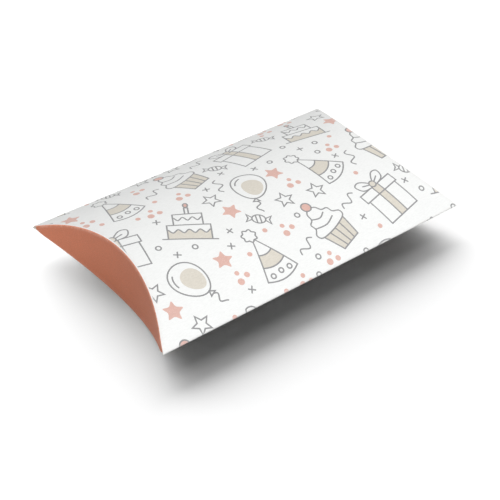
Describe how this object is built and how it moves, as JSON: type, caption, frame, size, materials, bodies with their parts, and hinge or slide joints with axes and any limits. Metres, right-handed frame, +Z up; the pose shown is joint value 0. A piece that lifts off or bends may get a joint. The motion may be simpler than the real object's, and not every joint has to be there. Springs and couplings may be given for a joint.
{
  "type": "favor box",
  "caption": "Pillow-shaped favor box of folded card: a bowed sleeve glued along one side, closed by curved end flaps that swing out or press in.",
  "frame": {"origin": "on the surface the box lies on, under the middle of its belly", "axes": "+X along the sleeve, +Y across it towards the glued side, +Z up from the belly to the crown"},
  "size_m": [0.12, 0.071, 0.0204],
  "materials": {
    "printed_card": "matte",
    "coral_card": "matte",
    "plain_card": "matte",
    "dried_glue": "satin"
  },
  "bodies": {
    "sleeve": {"top_panel": "printed_card", "bottom_panel": "printed_card", "glue_flap": "plain_card", "glue_line": "dried_glue"},
    "left_outer": {"left_outer_flap": "coral_card"},
    "left_inner": {"left_inner_flap": "coral_card"},
    "right_outer": {"right_outer_flap": "coral_card"},
    "right_inner": {"right_inner_flap": "coral_card"}
  },
  "joints": [
    {"name": "left_outer_crease", "type": "hinge", "parent": "sleeve", "child": "left_outer", "pos_m": [-0.0498, 0, 0.0204], "axis": [0, 1, 0], "range_deg": [0, 90]},
    {"name": "left_inner_crease", "type": "hinge", "parent": "sleeve", "child": "left_inner", "pos_m": [-0.0494, 0, 0.0005], "axis": [0, 1, 0], "range_deg": [0, 70]},
    {"name": "right_outer_crease", "type": "hinge", "parent": "sleeve", "child": "right_outer", "pos_m": [0.0498, 0, 0.0204], "axis": [0, -1, 0], "range_deg": [0, 90]},
    {"name": "right_inner_crease", "type": "hinge", "parent": "sleeve", "child": "right_inner", "pos_m": [0.0494, 0, 0.0005], "axis": [0, -1, 0], "range_deg": [0, 70]}
  ]
}
